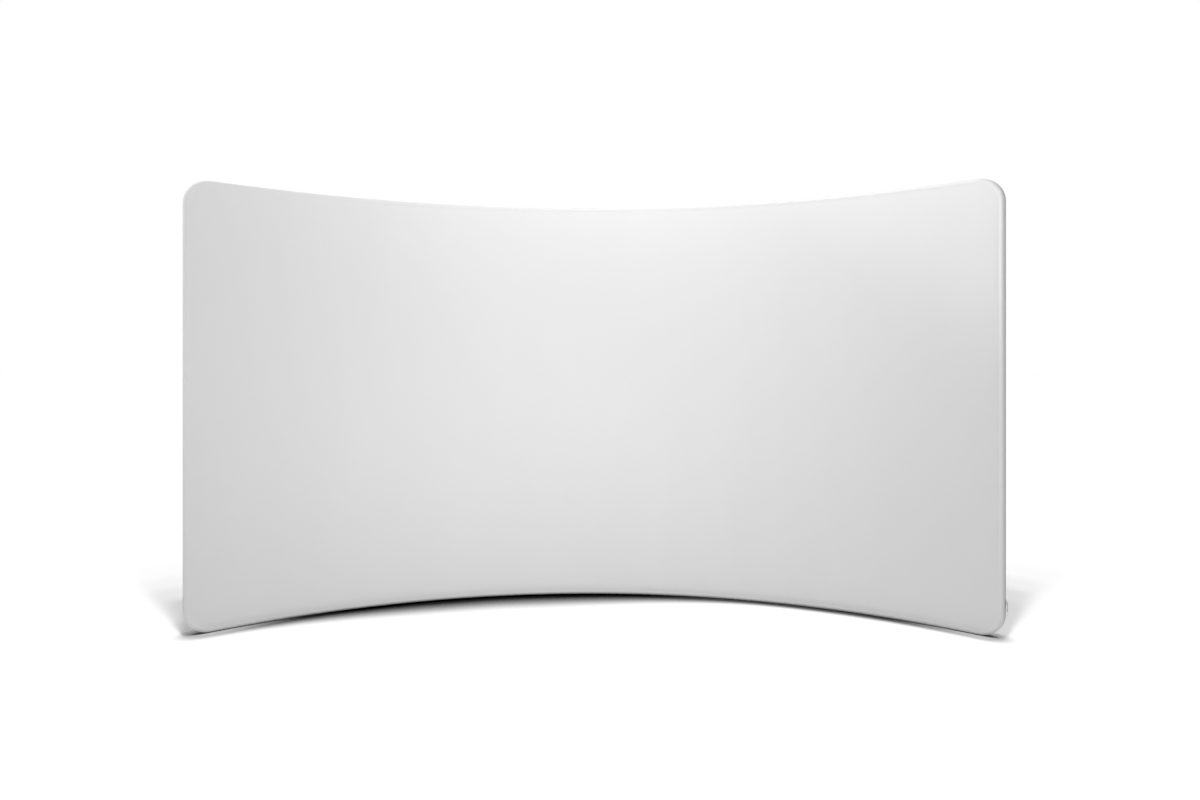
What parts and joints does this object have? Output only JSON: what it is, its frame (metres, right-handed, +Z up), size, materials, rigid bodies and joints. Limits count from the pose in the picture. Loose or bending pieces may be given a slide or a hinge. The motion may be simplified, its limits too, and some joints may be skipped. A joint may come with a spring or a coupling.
{
  "type": "curved tension fabric display wall",
  "caption": "Curved free-standing display wall: a round-cornered tube frame of plug-together lengths inside a zipped stretch-cloth cover, hollow side forward.",
  "frame": {"origin": "on the floor, under the middle of the wall's outer box", "axes": "+Z up; +X to the right and +Y towards the back, as seen by someone standing in front, on the hollow side"},
  "size_m": [4.1035, 0.8303, 2.3],
  "materials": {
    "tube_aluminium": "satin",
    "saddle_plastic": "matte",
    "spring_steel": "satin",
    "stretch_cloth": "matte",
    "zip_tape": "matte",
    "zip_metal": "satin"
  },
  "bodies": {
    "frame_and_cover": {"top_rail_1": "tube_aluminium", "top_rail_2": "tube_aluminium", "top_rail_3": "tube_aluminium", "top_rail_4": "tube_aluminium", "bottom_rail_1": "tube_aluminium", "bottom_rail_2": "tube_aluminium", "bottom_rail_3": "tube_aluminium", "bottom_rail_4": "tube_aluminium", "top_left_corner": "tube_aluminium", "top_right_corner": "tube_aluminium", "bottom_left_corner": "tube_aluminium", "bottom_right_corner": "tube_aluminium", "left_upright_lower": "tube_aluminium", "left_upright_upper": "tube_aluminium", "right_upright_lower": "tube_aluminium", "right_upright_upper": "tube_aluminium", "left_pole_lower": "tube_aluminium", "left_pole_upper": "tube_aluminium", "right_pole_lower": "tube_aluminium", "right_pole_upper": "tube_aluminium", "left_pole_bottom_saddle": "saddle_plastic", "left_pole_top_saddle": "saddle_plastic", "right_pole_bottom_saddle": "saddle_plastic", "right_pole_top_saddle": "saddle_plastic", "cover_front": "stretch_cloth", "cover_back": "stretch_cloth", "zip_tape_front": "zip_tape", "zip_tape_back": "zip_tape", "zip_end_stop_front": "zip_metal", "zip_end_stop_back": "zip_metal", "zip_start_stop": "zip_metal"},
    "button_bottom_1": {"snap_button_bottom_1": "spring_steel"},
    "button_bottom_2": {"snap_button_bottom_2": "spring_steel"},
    "button_bottom_3": {"snap_button_bottom_3": "spring_steel"},
    "button_bottom_4": {"snap_button_bottom_4": "spring_steel"},
    "button_bottom_5": {"snap_button_bottom_5": "spring_steel"},
    "button_left_1": {"snap_button_left_1": "spring_steel"},
    "button_left_2": {"snap_button_left_2": "spring_steel"},
    "button_left_3": {"snap_button_left_3": "spring_steel"},
    "button_left_pole": {"snap_button_left_pole": "spring_steel"},
    "button_right_1": {"snap_button_right_1": "spring_steel"},
    "button_right_2": {"snap_button_right_2": "spring_steel"},
    "button_right_3": {"snap_button_right_3": "spring_steel"},
    "button_right_pole": {"snap_button_right_pole": "spring_steel"},
    "button_top_1": {"snap_button_top_1": "spring_steel"},
    "button_top_2": {"snap_button_top_2": "spring_steel"},
    "button_top_3": {"snap_button_top_3": "spring_steel"},
    "button_top_4": {"snap_button_top_4": "spring_steel"},
    "button_top_5": {"snap_button_top_5": "spring_steel"},
    "zip_slider": {"zip_slider": "zip_metal"},
    "zip_pull": {"zip_pull": "zip_metal"}
  },
  "joints": [
    {"name": "press_bottom_1", "type": "slide", "parent": "frame_and_cover", "child": "button_bottom_1", "axis": [0, 0, -1], "range_m": [0, 0.0045], "stiffness_N_per_m": 2000, "springref_m": -0.005},
    {"name": "press_bottom_2", "type": "slide", "parent": "frame_and_cover", "child": "button_bottom_2", "axis": [0, 0, -1], "range_m": [0, 0.0045], "stiffness_N_per_m": 2000, "springref_m": -0.005},
    {"name": "press_bottom_3", "type": "slide", "parent": "frame_and_cover", "child": "button_bottom_3", "axis": [0, 0, -1], "range_m": [0, 0.0045], "stiffness_N_per_m": 2000, "springref_m": -0.005},
    {"name": "press_bottom_4", "type": "slide", "parent": "frame_and_cover", "child": "button_bottom_4", "axis": [0, 0, -1], "range_m": [0, 0.0045], "stiffness_N_per_m": 2000, "springref_m": -0.005},
    {"name": "press_bottom_5", "type": "slide", "parent": "frame_and_cover", "child": "button_bottom_5", "axis": [0, 0, -1], "range_m": [0, 0.0045], "stiffness_N_per_m": 2000, "springref_m": -0.005},
    {"name": "press_left_1", "type": "slide", "parent": "frame_and_cover", "child": "button_left_1", "axis": [-0.7463, -0.6656, 0], "range_m": [0, 0.0045], "stiffness_N_per_m": 2000, "springref_m": -0.005},
    {"name": "press_left_2", "type": "slide", "parent": "frame_and_cover", "child": "button_left_2", "axis": [-0.7463, -0.6656, 0], "range_m": [0, 0.0045], "stiffness_N_per_m": 2000, "springref_m": -0.005},
    {"name": "press_left_3", "type": "slide", "parent": "frame_and_cover", "child": "button_left_3", "axis": [-0.7463, -0.6656, 0], "range_m": [0, 0.0045], "stiffness_N_per_m": 2000, "springref_m": -0.005},
    {"name": "press_left_pole", "type": "slide", "parent": "frame_and_cover", "child": "button_left_pole", "axis": [-0.9729, -0.2312, 0], "range_m": [0, 0.0045], "stiffness_N_per_m": 2000, "springref_m": -0.005},
    {"name": "press_right_1", "type": "slide", "parent": "frame_and_cover", "child": "button_right_1", "axis": [0.7463, -0.6656, 0], "range_m": [0, 0.0045], "stiffness_N_per_m": 2000, "springref_m": -0.005},
    {"name": "press_right_2", "type": "slide", "parent": "frame_and_cover", "child": "button_right_2", "axis": [0.7463, -0.6656, 0], "range_m": [0, 0.0045], "stiffness_N_per_m": 2000, "springref_m": -0.005},
    {"name": "press_right_3", "type": "slide", "parent": "frame_and_cover", "child": "button_right_3", "axis": [0.7463, -0.6656, 0], "range_m": [0, 0.0045], "stiffness_N_per_m": 2000, "springref_m": -0.005},
    {"name": "press_right_pole", "type": "slide", "parent": "frame_and_cover", "child": "button_right_pole", "axis": [-0.9729, 0.2312, 0], "range_m": [0, 0.0045], "stiffness_N_per_m": 2000, "springref_m": -0.005},
    {"name": "press_top_1", "type": "slide", "parent": "frame_and_cover", "child": "button_top_1", "axis": [0, 0, 1], "range_m": [0, 0.0045], "stiffness_N_per_m": 2000, "springref_m": -0.005},
    {"name": "press_top_2", "type": "slide", "parent": "frame_and_cover", "child": "button_top_2", "axis": [0, 0, 1], "range_m": [0, 0.0045], "stiffness_N_per_m": 2000, "springref_m": -0.005},
    {"name": "press_top_3", "type": "slide", "parent": "frame_and_cover", "child": "button_top_3", "axis": [0, 0, 1], "range_m": [0, 0.0045], "stiffness_N_per_m": 2000, "springref_m": -0.005},
    {"name": "press_top_4", "type": "slide", "parent": "frame_and_cover", "child": "button_top_4", "axis": [0, 0, 1], "range_m": [0, 0.0045], "stiffness_N_per_m": 2000, "springref_m": -0.005},
    {"name": "press_top_5", "type": "slide", "parent": "frame_and_cover", "child": "button_top_5", "axis": [0, 0, 1], "range_m": [0, 0.0045], "stiffness_N_per_m": 2000, "springref_m": -0.005},
    {"name": "zip_run", "type": "slide", "parent": "frame_and_cover", "child": "zip_slider", "axis": [0, 0, -1], "range_m": [0, 0.043]},
    {"name": "pull_swing", "type": "hinge", "parent": "zip_slider", "child": "zip_pull", "pos_m": [2.05029, -0.40955, 0.184], "axis": [-0.6656, -0.7463, 0], "range_deg": [0, 150]}
  ]
}
